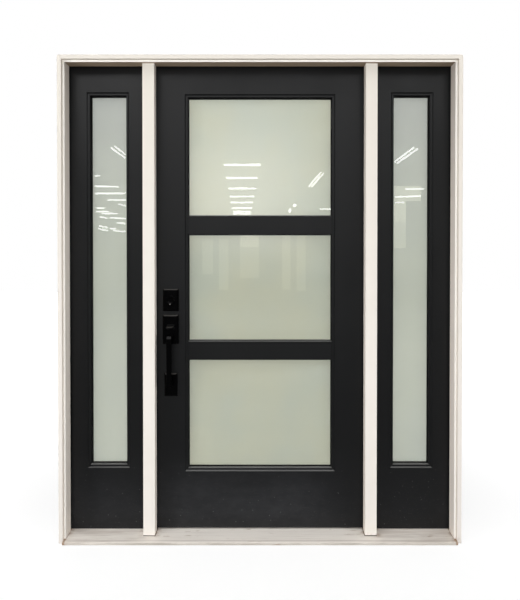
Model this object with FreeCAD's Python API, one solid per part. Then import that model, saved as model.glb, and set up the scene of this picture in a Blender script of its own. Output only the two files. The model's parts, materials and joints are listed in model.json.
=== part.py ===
import FreeCAD
import Part

import math
import os

# Entry door unit with two sidelights. Millimetres, +Z up, the outdoor side faces -Y.
# The origin is on the underside of the sill, in the middle of the unit, under the door's outer face.

V = FreeCAD.Vector
X_AXIS = V(1, 0, 0)
Y_AXIS = V(0, 1, 0)
Z_AXIS = V(0, 0, 1)

# Door leaf
DOOR_WIDTH = 914.0
DOOR_HEIGHT = 2011.0
PANEL_THICK = 44.5
DOOR_STILE = 130.5
DOOR_TOP_RAIL = 123.5
DOOR_BOTTOM_RAIL = 245.5
BAR_HEIGHT = 82.0
LOWER_LITE = 472.5
MIDDLE_LITE = 465.0
SWEEP_DROP = 1.0
SWEEP_THICK = 24.0

# Sidelights
SIDELIGHT_WIDTH = 342.0
SIDE_STILE = 79.0
SIDE_TOP_RAIL = 120.5
SIDE_BOTTOM_RAIL = 266.5

# Glazing: bevelled bead outside, flat stop inside, two panes apart between them
BEAD_WIDTH = 13.5
BEAD_BEVEL = 5.0
BEAD_DEPTH = 22.0
BEAD_ROUND = 1.5
PANE_THICK = 3.0
PANE_GAP = 7.0
PANE_EDGE = 3.0
SPACER_WIDTH = 12.5
SPACER_INSET = 1.0
STOP_RECESS = 3.0
MITRE_GAP = 0.1

# Wooden frame
SWING_GAP = 5.0
STOP_COVER = 9.0
JAMB_DEPTH = 116.0
JAMB_THICK = 26.5
DOOR_SETBACK = 68.0
STOP_GAP = 12.0
MULLION_FACE = 50.0
MULLION_SETBACK = 16.0
SEAL_WIDTH = 7.0
SEAL_LAP = 2.0

# Sloped sill
SILL_REACH = 97.0
SILL_NOSE = 11.5
SILL_SLOPE_DEG = 3.5
SILL_ROUND = 3.0

# Narrow outer casing
CASING_WIDTH = 19.0
CASING_THICK = 15.0
CASING_EASE = 2.0
UNIT_CORNER = 9.0

# Lock hardware
BACKSET = 70.0
BOLT_ABOVE_SILL = 1001.5
BOLT_TO_LATCH = 127.0
PLATE_WIDTH = 68.0
BOLT_PLATE_HEIGHT = 97.0
BOLT_PLATE_THICK = 10.0
LATCH_PLATE_HEIGHT = 126.0
LATCH_PLATE_THICK = 16.0
PLATE_BEVEL = 6.0
PLATE_BEVEL_DEPTH = 3.5
CYLINDER_RADIUS = 21.0
CYLINDER_PROUD = 6.0
CYLINDER_TAPER = 3.0
CYLINDER_BASE = 2.0
DISH_RADIUS = 15.0
DISH_FLOOR_RADIUS = 9.5
DISH_DEPTH = 3.5
PLUG_RADIUS = 7.0
PLUG_SINK = 1.0
KEYWAY_WIDTH = 2.0
KEYWAY_HEIGHT = 9.0
KEYWAY_DEPTH = 3.0

# Thumb piece on its cross rod
THUMB_WIDTH = 26.0
THUMB_REACH = 46.0
THUMB_THICK = 6.0
THUMB_DROP = 3.0
THUMB_ABOVE_LATCH = 12.0
ROD_RADIUS = 3.0
ROD_CLEAR = 0.1
ROD_SEAT = 4.0
ROD_END_CLEAR = 0.5
SLOT_MARGIN = 5.0
SLOT_HEIGHT = 20.0

# Pull grip and its lower plate
GRIP_WIDTH = 21.0
GRIP_DEPTH = 17.0
GRIP_PROUD = 62.0
GRIP_LENGTH = 217.0
GRIP_TOP_ABOVE_PLATE = 39.0
GRIP_CORNER = 10.0
GRIP_EDGE = 1.5
FOOT_WIDTH = 56.0
FOOT_HEIGHT = 101.0
FOOT_THICK = 10.0

# Indoor lever and thumbturn
LEVER_LENGTH = 118.0
LEVER_HEIGHT = 20.0
LEVER_THICK = 11.0
LEVER_STAND = 46.0
NECK_RADIUS = 10.0
TURN_LENGTH = 34.0
TURN_THICK = 8.0
TURN_STAND = 22.0
TURN_ROUND = 3.0
TURN_PLATE_HEIGHT = 68.0
INNER_PLATE_THICK = 9.0

# Edge plates of the lock
EDGE_PLATE_WIDTH = 25.0
EDGE_PLATE_HEIGHT = 57.0
EDGE_PLATE_THICK = 2.0
STRIKE_HOLE_WIDTH = 14.0
STRIKE_HOLE_HEIGHT = 26.0

# Butt hinges
HINGE_HEIGHT = 102.0
HINGE_TOP_DROP = 180.0
HINGE_BOTTOM_RISE = 250.0
LEAF_WIDTH = 34.0
LEAF_THICK = 2.2
KNUCKLE_RADIUS = 6.5
KNUCKLE_COUNT = 5
KNUCKLE_GAP = 0.4
PIN_RADIUS = 3.2
PIN_CLEAR = 0.1
PIN_HEAD = 3.0
PIN_EASE = 1.0
HINGE_CLEAR = 0.6

# Small overlap of cutting shapes, and the width of a test that picks edges
OVERLAP = 1.0

# Places that follow from the sizes above
DOOR_EDGE = DOOR_WIDTH / 2
DOOR_RABBET = DOOR_EDGE + SWING_GAP
MULLION_IN = DOOR_EDGE - STOP_COVER
MULLION_OUT = MULLION_IN + MULLION_FACE
SIDE_IN = MULLION_OUT - STOP_COVER
SIDE_OUT = SIDE_IN + SIDELIGHT_WIDTH
JAMB_IN = SIDE_OUT - STOP_COVER
JAMB_OUT = JAMB_IN + JAMB_THICK
CASING_IN = JAMB_OUT - CASING_WIDTH

JAMB_FRONT = -DOOR_SETBACK
JAMB_BACK = JAMB_DEPTH - DOOR_SETBACK
STOP_BACK = -STOP_GAP
MULLION_FRONT = JAMB_FRONT + MULLION_SETBACK
CASING_FRONT = JAMB_FRONT - CASING_THICK

SILL_TOP = SILL_NOSE + SILL_REACH * math.tan(math.radians(SILL_SLOPE_DEG))
DOOR_BOTTOM = SILL_TOP + SWING_GAP + SWEEP_DROP
DOOR_TOP = DOOR_BOTTOM + DOOR_HEIGHT
HEAD_RABBET = DOOR_TOP + SWING_GAP
HEAD_SOFFIT = DOOR_TOP - STOP_COVER
UNIT_TOP = HEAD_SOFFIT + JAMB_THICK

PANE_OUT = BEAD_DEPTH
PANE_IN = BEAD_DEPTH + PANE_THICK + PANE_GAP
STOP_FRONT = PANE_IN + PANE_THICK
STOP_REAR = PANEL_THICK - STOP_RECESS

LITE_HALF = DOOR_EDGE - DOOR_STILE
LITE_BOTTOM = DOOR_BOTTOM + DOOR_BOTTOM_RAIL
LITE_TOP = DOOR_TOP - DOOR_TOP_RAIL
LOWER_BAR = LITE_BOTTOM + BEAD_WIDTH + LOWER_LITE
UPPER_BAR = LOWER_BAR + BAR_HEIGHT + MIDDLE_LITE

HANDLE_X = -(DOOR_EDGE - BACKSET)
BOLT_Z = SILL_TOP + BOLT_ABOVE_SILL
LATCH_Z = BOLT_Z - BOLT_TO_LATCH
THUMB_Z = LATCH_Z + THUMB_ABOVE_LATCH
ROD_Y = -(SLOT_MARGIN + ROD_RADIUS)
GRIP_TOP = LATCH_Z - LATCH_PLATE_HEIGHT / 2 + GRIP_TOP_ABOVE_PLATE
GRIP_BOTTOM = GRIP_TOP - GRIP_LENGTH

HINGE_X = DOOR_EDGE + SWING_GAP / 2
HINGE_Y = JAMB_BACK + KNUCKLE_RADIUS + HINGE_CLEAR


def box(x0, x1, y0, y1, z0, z1):
    return Part.makeBox(x1 - x0, y1 - y0, z1 - z0, V(x0, y0, z0))


def face(points):
    return Part.Face(Part.makePolygon(points + [points[0]]))


def along_x(points, x0, x1):
    """A bar along X from an outline of (y, z) points."""
    return face([V(x0, y, z) for y, z in points]).extrude(V(x1 - x0, 0, 0))


def along_y(points, y0, y1):
    """A bar along Y from an outline of (x, z) points."""
    return face([V(x, y0, z) for x, z in points]).extrude(V(0, y1 - y0, 0))


def along_z(points, z0, z1):
    """A post along Z from an outline of (x, y) points."""
    return face([V(x, y, z0) for x, y in points]).extrude(V(0, 0, z1 - z0))


def other_side(shape):
    """The same piece on the other side of the unit's middle."""
    return shape.mirror(V(0, 0, 0), X_AXIS)


def edges_where(shape, test):
    return [edge for edge in shape.Edges if test(edge.BoundBox)]


def save(name, *solids):
    shape = solids[0] if len(solids) == 1 else Part.makeCompound(list(solids))
    shape.exportStep("parts/" + name + ".step")


def stick(length, outline):
    """A mitred stick along X; the outline is (inset from the outer edge, depth along Y)."""
    half = length / 2 - MITRE_GAP
    width = max(inset for inset, depth in outline)
    rear = max(depth for inset, depth in outline)
    bar = along_x([(depth, inset) for inset, depth in outline], -half, half)
    ends = [(-half, 0), (half, 0), (half - width, width), (-half + width, width)]
    return bar.common(along_y(ends, -OVERLAP, rear + OVERLAP))


def ring(x0, x1, z0, z1, outline):
    """Four mitred sticks round an opening, from its outer edges inwards."""
    middle = V((x0 + x1) / 2, 0, (z0 + z1) / 2)
    spans = (x1 - x0, z1 - z0)
    sticks = []
    for turn in range(4):
        piece = stick(spans[turn % 2], outline)
        piece.translate(V(0, 0, -spans[(turn + 1) % 2] / 2))
        piece.rotate(V(0, 0, 0), Y_AXIS, 90 * turn)
        piece.translate(middle)
        sticks.append(piece)
    return sticks


def bead_outline():
    """The outdoor bead: a bevel down from the panel's face, a flat band, then a deep step to the glass."""
    return [
        (0, 0),
        (BEAD_BEVEL, BEAD_BEVEL),
        (BEAD_WIDTH - BEAD_ROUND, BEAD_BEVEL),
        (BEAD_WIDTH, BEAD_BEVEL + BEAD_ROUND),
        (BEAD_WIDTH, BEAD_DEPTH),
        (0, BEAD_DEPTH),
    ]


def stop_outline():
    """The indoor stop: a flat strip with its inner edge eased."""
    return [
        (0, STOP_FRONT),
        (BEAD_WIDTH, STOP_FRONT),
        (BEAD_WIDTH, STOP_REAR - BEAD_ROUND),
        (BEAD_WIDTH - BEAD_ROUND, STOP_REAR),
        (0, STOP_REAR),
    ]


def pane(x0, x1, z0, z1, front):
    """One pane of a sealed unit, in a cut-out of the given size."""
    edge = PANE_EDGE
    return box(x0 + edge, x1 - edge, front, front + PANE_THICK, z0 + edge, z1 - edge)


def spacer(x0, x1, z0, z1):
    """The closed metal spacer between the two panes of one sealed unit."""
    outer = PANE_EDGE + SPACER_INSET
    inner = outer + SPACER_WIDTH
    front = PANE_OUT + PANE_THICK
    full = box(x0 + outer, x1 - outer, front, front + PANE_GAP, z0 + outer, z1 - outer)
    return full.cut(box(x0 + inner, x1 - inner, front, front + PANE_GAP, z0 + inner, z1 - inner))


def bevelled_plate(width, height, thick):
    """A plate standing on the plane Y=0 towards -Y, with a shallow bevel all round its front."""
    half_x, half_z = width / 2, height / 2
    shoulder = PLATE_BEVEL_DEPTH - thick
    base = box(-half_x, half_x, shoulder, 0, -half_z, half_z)
    top = Part.makeWedge(-half_x + PLATE_BEVEL, -thick, -half_z + PLATE_BEVEL, -half_z, -half_x,
                         half_x - PLATE_BEVEL, shoulder, half_z - PLATE_BEVEL, half_z, half_x)
    return base.fuse(top).removeSplitter()


def build_sill():
    rise = math.tan(math.radians(SILL_SLOPE_DEG))
    outline = [
        (-SILL_REACH, 0),
        (JAMB_BACK, 0),
        (JAMB_BACK, SILL_TOP),
        (0, SILL_TOP),
        (-SILL_REACH + SILL_ROUND, SILL_NOSE + SILL_ROUND * rise),
        (-SILL_REACH, SILL_NOSE - SILL_ROUND),
    ]
    body = along_x(outline, -SIDE_OUT, SIDE_OUT)
    for end in (-1, 1):
        for inner, y0, y1 in ((CASING_IN, -SILL_REACH, JAMB_FRONT), (JAMB_IN, JAMB_FRONT, STOP_BACK)):
            x0, x1 = sorted((end * inner, end * SIDE_OUT))
            body = body.cut(box(x0, x1, y0, y1, 0, SILL_TOP))
    return body


def unit_block():
    """The whole unit's outline, with its top corners rounded."""
    block = box(-JAMB_OUT, JAMB_OUT, CASING_FRONT, JAMB_BACK, 0, UNIT_TOP)
    corners = edges_where(block, lambda b: b.ZMin > UNIT_TOP - OVERLAP and b.XLength < OVERLAP)
    return block.makeFillet(UNIT_CORNER, corners)


def build_jamb():
    """Right side jamb: an L section, thick in front where it stops the panel."""
    outline = [
        (JAMB_IN, JAMB_FRONT),
        (JAMB_OUT, JAMB_FRONT),
        (JAMB_OUT, JAMB_BACK),
        (SIDE_OUT, JAMB_BACK),
        (SIDE_OUT, STOP_BACK),
        (JAMB_IN, STOP_BACK),
    ]
    return along_z(outline, 0, UNIT_TOP).common(unit_block())


def build_head():
    """Head jamb between the side jambs, with the same stop and rabbet."""
    front = box(-JAMB_IN, JAMB_IN, JAMB_FRONT, STOP_BACK, HEAD_SOFFIT, UNIT_TOP)
    rear = box(-SIDE_OUT, SIDE_OUT, STOP_BACK, JAMB_BACK, HEAD_RABBET, UNIT_TOP)
    return front.fuse(rear).removeSplitter()


def build_mullion(head):
    """Right mullion post: a square front that stops both panels, and a narrow core between them.
    It is cut off square, so its core stands on the sill and its front leaves a thin gap over the slope."""
    outline = [
        (MULLION_IN, MULLION_FRONT),
        (MULLION_OUT, MULLION_FRONT),
        (MULLION_OUT, STOP_BACK),
        (SIDE_IN, STOP_BACK),
        (SIDE_IN, JAMB_BACK),
        (DOOR_RABBET, JAMB_BACK),
        (DOOR_RABBET, STOP_BACK),
        (MULLION_IN, STOP_BACK),
    ]
    return along_z(outline, SILL_TOP, UNIT_TOP).cut(head)


def casing_outline():
    """Casing section as (inset from the outer edge, depth towards -Y): flat, with both front edges eased."""
    points = [
        (0, 0),
        (CASING_WIDTH, 0),
        (CASING_WIDTH, CASING_THICK - CASING_EASE),
        (CASING_WIDTH - CASING_EASE, CASING_THICK),
        (CASING_EASE, CASING_THICK),
        (0, CASING_THICK - CASING_EASE),
    ]
    return face([V(inset, depth, 0) for inset, depth in points])


def build_casing():
    """Right casing and head casing, mitred together at the top corner."""
    section = casing_outline()
    matrix_side = FreeCAD.Matrix(-1, 0, 0, JAMB_OUT, 0, -1, 0, JAMB_FRONT, 0, 0, 1, 0, 0, 0, 0, 1)
    side = section.transformGeometry(matrix_side).extrude(V(0, 0, UNIT_TOP))
    mitre = [(CASING_IN, 0), (JAMB_OUT, 0), (JAMB_OUT, UNIT_TOP), (CASING_IN, UNIT_TOP - CASING_WIDTH)]
    side = side.common(along_y(mitre, CASING_FRONT - OVERLAP, JAMB_FRONT))
    matrix_head = FreeCAD.Matrix(0, 0, 1, -JAMB_OUT, 0, -1, 0, JAMB_FRONT, -1, 0, 0, UNIT_TOP, 0, 0, 0, 1)
    head = section.transformGeometry(matrix_head).extrude(V(2 * JAMB_OUT, 0, 0))
    low = UNIT_TOP - CASING_WIDTH
    mitre = [(-JAMB_OUT, UNIT_TOP), (JAMB_OUT, UNIT_TOP), (CASING_IN, low), (-CASING_IN, low)]
    head = head.common(along_y(mitre, CASING_FRONT - OVERLAP, JAMB_FRONT))
    return side.common(unit_block()), head.common(unit_block())


def build_seals():
    """Weatherstrips behind the stops: clear of the door, pressed on the fixed sidelights."""
    strips = []
    door_front = -SWING_GAP
    wide = DOOR_RABBET - MULLION_IN - SEAL_LAP
    for side in (-1, 1):
        near, far = sorted((side * (DOOR_RABBET - wide), side * DOOR_RABBET))
        strips.append(box(near, far, STOP_BACK, door_front, SILL_TOP, HEAD_RABBET - SEAL_WIDTH))
        near, far = sorted((side * SIDE_IN, side * (SIDE_IN + SEAL_WIDTH)))
        strips.append(box(near, far, STOP_BACK, 0, SILL_TOP, HEAD_SOFFIT))
        near, far = sorted((side * (SIDE_OUT - SEAL_WIDTH), side * SIDE_OUT))
        strips.append(box(near, far, STOP_BACK, 0, SILL_TOP, HEAD_SOFFIT))
    strips.append(box(-DOOR_RABBET, DOOR_RABBET, STOP_BACK, door_front, HEAD_RABBET - SEAL_WIDTH, HEAD_RABBET))
    return strips


def build_sidelight():
    """Right sidelight: its single pieces, then its trim, which shares a node with the left side's."""
    bottom, top = SILL_TOP, HEAD_RABBET
    x0, x1 = SIDE_IN + SIDE_STILE, SIDE_OUT - SIDE_STILE
    z0, z1 = bottom + SIDE_BOTTOM_RAIL, top - SIDE_TOP_RAIL
    return {
        "inner_stile": box(SIDE_IN, x0, 0, PANEL_THICK, bottom, top),
        "outer_stile": box(x1, SIDE_OUT, 0, PANEL_THICK, bottom, top),
        "bottom_rail": box(x0, x1, 0, PANEL_THICK, bottom, z0),
        "top_rail": box(x0, x1, 0, PANEL_THICK, z1, top),
        "clear_pane": pane(x0, x1, z0, z1, PANE_OUT),
        "frosted_pane": pane(x0, x1, z0, z1, PANE_IN),
    }, {
        "beads": ring(x0, x1, z0, z1, bead_outline()),
        "stops": ring(x0, x1, z0, z1, stop_outline()),
        "spacers": [spacer(x0, x1, z0, z1)],
    }


def build_bar(bottom):
    """A bar of the door: its face is level with the bead band, its core runs into the stiles."""
    reach = LITE_HALF - BEAD_WIDTH
    front = box(-reach, reach, BEAD_BEVEL, BEAD_DEPTH, bottom, bottom + BAR_HEIGHT)
    edges = edges_where(front, lambda b: b.YMax < BEAD_BEVEL + OVERLAP and b.XLength > reach)
    front = front.makeChamfer(BEAD_ROUND, edges)
    low, high = bottom + BEAD_WIDTH, bottom + BAR_HEIGHT - BEAD_WIDTH
    core = box(-LITE_HALF, LITE_HALF, BEAD_DEPTH, STOP_REAR, low, high)
    return front.fuse(core).removeSplitter()


def door_cutouts():
    """The three glazed cut-outs of the door, bottom to top, as (low, high) heights."""
    return [
        (LITE_BOTTOM, LOWER_BAR + BEAD_WIDTH),
        (LOWER_BAR + BAR_HEIGHT - BEAD_WIDTH, UPPER_BAR + BEAD_WIDTH),
        (UPPER_BAR + BAR_HEIGHT - BEAD_WIDTH, LITE_TOP),
    ]


def edge_plate(x0, x1, z):
    """A thin plate with rounded ends in an edge of the door or the post."""
    middle = PANEL_THICK / 2
    half = EDGE_PLATE_WIDTH / 2
    plate = box(x0, x1, middle - half, middle + half, z - EDGE_PLATE_HEIGHT / 2, z + EDGE_PLATE_HEIGHT / 2)
    corners = edges_where(plate, lambda b: b.XLength > (x1 - x0) / 2)
    return plate.makeFillet(half / 2, corners)


def faceplates():
    return [edge_plate(-DOOR_EDGE, -DOOR_EDGE + EDGE_PLATE_THICK, z) for z in (BOLT_Z, LATCH_Z)]


def strikes():
    middle = PANEL_THICK / 2
    plates = []
    for z in (BOLT_Z, LATCH_Z):
        plate = edge_plate(-DOOR_RABBET - EDGE_PLATE_THICK, -DOOR_RABBET, z)
        half_y, half_z = STRIKE_HOLE_WIDTH / 2, STRIKE_HOLE_HEIGHT / 2
        hole = box(-DOOR_RABBET - EDGE_PLATE_THICK, -DOOR_RABBET,
                   middle - half_y, middle + half_y, z - half_z, z + half_z)
        plates.append(plate.cut(hole))
    return plates


def strike_pockets():
    return [edge_plate(-DOOR_RABBET - EDGE_PLATE_THICK, -DOOR_RABBET, z) for z in (BOLT_Z, LATCH_Z)]


def build_bolt_plate():
    plate = bevelled_plate(PLATE_WIDTH, BOLT_PLATE_HEIGHT, BOLT_PLATE_THICK)
    plate.translate(V(HANDLE_X, 0, BOLT_Z))
    return plate


def build_cylinder():
    """Turned lock cylinder on the plate: tapered collar, sunk face, plug with its keyway."""
    top = CYLINDER_PROUD
    plug_top = top - PLUG_SINK
    profile = [
        (0, 0),
        (CYLINDER_RADIUS, 0),
        (CYLINDER_RADIUS, CYLINDER_BASE),
        (CYLINDER_RADIUS - CYLINDER_TAPER, top),
        (DISH_RADIUS, top),
        (DISH_FLOOR_RADIUS, top - DISH_DEPTH),
        (PLUG_RADIUS, top - DISH_DEPTH),
        (PLUG_RADIUS, plug_top),
        (0, plug_top),
    ]
    body = face([V(radius, -height, 0) for radius, height in profile]).revolve(V(0, 0, 0), Y_AXIS, 360)
    key = box(-KEYWAY_WIDTH / 2, KEYWAY_WIDTH / 2, -plug_top, KEYWAY_DEPTH - plug_top,
              -KEYWAY_HEIGHT / 2, KEYWAY_HEIGHT / 2)
    body = body.cut(key)
    body.translate(V(HANDLE_X, -BOLT_PLATE_THICK, BOLT_Z))
    return body


def rod(radius, half_length, y, z):
    return Part.makeCylinder(radius, 2 * half_length, V(HANDLE_X - half_length, y, z), X_AXIS)


def build_escutcheon():
    """Latch plate with the slot and the cross bore that carry the thumb piece."""
    plate = bevelled_plate(PLATE_WIDTH, LATCH_PLATE_HEIGHT, LATCH_PLATE_THICK)
    plate.translate(V(HANDLE_X, 0, LATCH_Z))
    half = THUMB_WIDTH / 2 + SLOT_MARGIN
    slot = box(HANDLE_X - half, HANDLE_X + half, -LATCH_PLATE_THICK, 0,
               THUMB_Z - SLOT_HEIGHT / 2, THUMB_Z + SLOT_HEIGHT / 2)
    bore = rod(ROD_RADIUS + ROD_CLEAR, half + ROD_SEAT + ROD_END_CLEAR, ROD_Y, THUMB_Z)
    return plate.cut(slot).cut(bore)


def build_thumb_piece():
    """Thumb piece: a dished pad that leaves the slot, on a cross rod in the plate."""
    half_thick = THUMB_THICK / 2
    tip = -THUMB_REACH
    top_start = V(0, ROD_Y, THUMB_Z + half_thick)
    top_end = V(0, tip, THUMB_Z + half_thick - THUMB_DROP / 2)
    dish = V(0, (ROD_Y + tip) / 2 - half_thick, THUMB_Z + half_thick - THUMB_DROP)
    low_end = V(0, tip, THUMB_Z - half_thick - THUMB_DROP / 2)
    low_dish = V(0, (ROD_Y + tip) / 2 - half_thick, THUMB_Z - half_thick - THUMB_DROP)
    low_start = V(0, ROD_Y, THUMB_Z - half_thick)
    nose = V(0, tip - half_thick, THUMB_Z - THUMB_DROP / 2)
    edges = [
        Part.Arc(top_start, dish, top_end).toShape(),
        Part.Arc(top_end, nose, low_end).toShape(),
        Part.Arc(low_end, low_dish, low_start).toShape(),
        Part.makeLine(low_start, top_start),
    ]
    pad = Part.Face(Part.Wire(edges)).extrude(V(THUMB_WIDTH, 0, 0))
    pad.translate(V(HANDLE_X - THUMB_WIDTH / 2, 0, 0))
    half = THUMB_WIDTH / 2 + SLOT_MARGIN + ROD_SEAT
    return pad.fuse(rod(ROD_RADIUS, half, ROD_Y, THUMB_Z)).removeSplitter()


def build_grip():
    """Square pull grip: arm out of the latch plate, slanted corner, straight run, arm into the foot."""
    front, rear = -GRIP_PROUD, -GRIP_PROUD + GRIP_DEPTH
    c = GRIP_CORNER
    outline = [
        (-LATCH_PLATE_THICK, GRIP_TOP),
        (front + c, GRIP_TOP),
        (front, GRIP_TOP - c),
        (front, GRIP_BOTTOM + c / 2),
        (front + c / 2, GRIP_BOTTOM),
        (-FOOT_THICK, GRIP_BOTTOM),
        (-FOOT_THICK, GRIP_BOTTOM + GRIP_DEPTH),
        (rear, GRIP_BOTTOM + GRIP_DEPTH),
        (rear, GRIP_TOP - GRIP_DEPTH),
        (-LATCH_PLATE_THICK, GRIP_TOP - GRIP_DEPTH),
    ]
    grip = along_x(outline, HANDLE_X - GRIP_WIDTH / 2, HANDLE_X + GRIP_WIDTH / 2)
    run = edges_where(grip, lambda b: b.XLength < OVERLAP and b.YMin < front + OVERLAP)
    return grip.makeChamfer(GRIP_EDGE, run)


def build_foot():
    plate = bevelled_plate(FOOT_WIDTH, FOOT_HEIGHT, FOOT_THICK)
    plate.translate(V(HANDLE_X, 0, GRIP_BOTTOM))
    return plate


def indoors(shape, z):
    """Turns a piece that stands on Y=0 towards -Y onto the indoor face of the door."""
    shape.rotate(V(0, 0, 0), Z_AXIS, 180)
    shape.translate(V(HANDLE_X, PANEL_THICK, z))
    return shape


def build_lever():
    """Indoor lever on its plate: round neck, bar towards the hinges with an eased end."""
    plate = bevelled_plate(PLATE_WIDTH, LATCH_PLATE_HEIGHT, INNER_PLATE_THICK)
    neck = Part.makeCylinder(NECK_RADIUS, LEVER_STAND, V(0, 0, 0), V(0, -1, 0))
    half = LEVER_HEIGHT / 2
    bar = box(-LEVER_LENGTH + half, half, -LEVER_STAND - LEVER_THICK, -LEVER_STAND, -half, half)
    bar = bar.makeFillet(half / 2, edges_where(bar, lambda b: b.YLength > LEVER_THICK / 2))
    return indoors(plate.fuse(neck).fuse(bar).removeSplitter(), LATCH_Z)


def build_thumbturn():
    plate = bevelled_plate(PLATE_WIDTH, TURN_PLATE_HEIGHT, INNER_PLATE_THICK)
    neck = Part.makeCylinder(NECK_RADIUS, TURN_STAND / 2, V(0, 0, 0), V(0, -1, 0))
    half = TURN_LENGTH / 2
    turn = box(-TURN_THICK / 2, TURN_THICK / 2, -TURN_STAND - TURN_THICK, -TURN_STAND / 2, -half, half)
    turn = turn.makeFillet(TURN_ROUND, edges_where(turn, lambda b: b.XLength > TURN_THICK / 2))
    return indoors(plate.fuse(neck).fuse(turn).removeSplitter(), BOLT_Z)


def hinge_heights():
    """Bottom of each butt hinge."""
    low = DOOR_BOTTOM + HINGE_BOTTOM_RISE - HINGE_HEIGHT / 2
    high = DOOR_TOP - HINGE_TOP_DROP - HINGE_HEIGHT / 2
    return [low, (low + high) / 2, high]


def knuckles(bottom, first):
    """Every second knuckle of a barrel, from knuckle number first."""
    pitch = HINGE_HEIGHT / KNUCKLE_COUNT
    pieces = []
    for index in range(first, KNUCKLE_COUNT, 2):
        z0 = bottom + index * pitch + KNUCKLE_GAP / 2
        height = pitch - KNUCKLE_GAP
        pieces.append((z0, Part.makeCylinder(KNUCKLE_RADIUS, height, V(HINGE_X, HINGE_Y, z0), Z_AXIS), height))
    return pieces


def hinge_leaf(bottom, first, x0, x1, bore_radius):
    """One leaf: a plate on the wood, tabs to its knuckles, and the bore for the pin."""
    rear = JAMB_BACK - HINGE_CLEAR if first == 0 else PANEL_THICK
    leaf = box(x0, x1, rear - LEAF_WIDTH, rear, bottom, bottom + HINGE_HEIGHT)
    for z0, knuckle, height in knuckles(bottom, first):
        leaf = leaf.fuse(knuckle).fuse(box(x0, x1, rear - OVERLAP, HINGE_Y, z0, z0 + height))
    bore = Part.makeCylinder(bore_radius, HINGE_HEIGHT, V(HINGE_X, HINGE_Y, bottom), Z_AXIS)
    return leaf.cut(bore).removeSplitter()


def hinge_pin(bottom):
    """Loose pin with a flat, eased head on the top knuckle."""
    shank = Part.makeCylinder(PIN_RADIUS, HINGE_HEIGHT, V(HINGE_X, HINGE_Y, bottom), Z_AXIS)
    top = bottom + HINGE_HEIGHT
    head = Part.makeCylinder(KNUCKLE_RADIUS, PIN_HEAD, V(HINGE_X, HINGE_Y, top), Z_AXIS)
    head = head.makeChamfer(PIN_EASE, edges_where(head, lambda b: b.ZMin > top + PIN_HEAD / 2))
    return shank.fuse(head).removeSplitter()


def main():
    os.makedirs("parts", exist_ok=True)

    sill = build_sill()
    jamb = build_jamb()
    head = build_head()
    mullion = build_mullion(head)
    casing, head_casing = build_casing()
    left_mullion = other_side(mullion)
    for pocket in strike_pockets():
        left_mullion = left_mullion.cut(pocket)
    save("sill", sill)
    save("right_jamb", jamb)
    save("left_jamb", other_side(jamb))
    save("head_jamb", head)
    save("right_mullion", mullion)
    save("left_mullion", left_mullion)
    save("right_casing", casing)
    save("left_casing", other_side(casing))
    save("head_casing", head_casing)
    save("weatherstrips", *build_seals())
    save("strike_plates", *strikes())

    single, trim = build_sidelight()
    for name, piece in single.items():
        save("right_sidelight_" + name, piece)
        save("left_sidelight_" + name, other_side(piece))
    for name, pieces in trim.items():
        save("sidelight_" + name, *pieces, *[other_side(piece) for piece in pieces])

    stile = box(-DOOR_EDGE, -LITE_HALF, 0, PANEL_THICK, DOOR_BOTTOM, DOOR_TOP)
    lock_stile = stile
    for plate in faceplates():
        lock_stile = lock_stile.cut(plate)
    save("lock_stile", lock_stile)
    save("hinge_stile", other_side(stile))
    save("door_top_rail", box(-LITE_HALF, LITE_HALF, 0, PANEL_THICK, LITE_TOP, DOOR_TOP))
    save("door_bottom_rail", box(-LITE_HALF, LITE_HALF, 0, PANEL_THICK, DOOR_BOTTOM, LITE_BOTTOM))
    save("lower_bar", build_bar(LOWER_BAR))
    save("upper_bar", build_bar(UPPER_BAR))
    save("door_beads", *ring(-LITE_HALF, LITE_HALF, LITE_BOTTOM, LITE_TOP, bead_outline()))
    stops = []
    cutouts = [(-LITE_HALF, LITE_HALF, low, high) for low, high in door_cutouts()]
    for cutout in cutouts:
        stops += ring(*cutout, stop_outline())
    save("door_stops", *stops)
    save("door_spacers", *[spacer(*cutout) for cutout in cutouts])
    save("door_clear_panes", *[pane(*cutout, PANE_OUT) for cutout in cutouts])
    save("door_frosted_panes", *[pane(*cutout, PANE_IN) for cutout in cutouts])
    middle = PANEL_THICK / 2
    half = SWEEP_THICK / 2
    save("door_sweep", box(-DOOR_EDGE, DOOR_EDGE, middle - half, middle + half,
                           DOOR_BOTTOM - SWEEP_DROP, DOOR_BOTTOM))

    save("deadbolt_plate", build_bolt_plate())
    save("deadbolt_cylinder", build_cylinder())
    save("latch_plate", build_escutcheon())
    save("thumb_piece", build_thumb_piece())
    save("pull_grip", build_grip())
    save("grip_foot", build_foot())
    save("indoor_lever", build_lever())
    save("indoor_thumbturn", build_thumbturn())
    save("lock_faceplates", *faceplates())

    door_leaf_x = (DOOR_EDGE, DOOR_EDGE + LEAF_THICK)
    frame_leaf_x = (DOOR_RABBET - LEAF_THICK, DOOR_RABBET)
    bore = PIN_RADIUS + PIN_CLEAR
    heights = hinge_heights()
    save("frame_hinge_leaves", *[hinge_leaf(z, 0, *frame_leaf_x, bore) for z in heights])
    save("door_hinge_leaves", *[hinge_leaf(z, 1, *door_leaf_x, bore) for z in heights])
    save("hinge_pins", *[hinge_pin(z) for z in heights])


main()
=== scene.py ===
"""Looks of an exterior entry door unit with two sidelights, seen from outdoors.

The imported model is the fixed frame. This script rounds its edges, paints every node with a procedural
material, adds the screw heads and bolt ends, and sets the camera, the lamps and a white floor.
"""

import json
import math
import random

import bmesh
import bpy
from mathutils import Matrix, Vector


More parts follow.
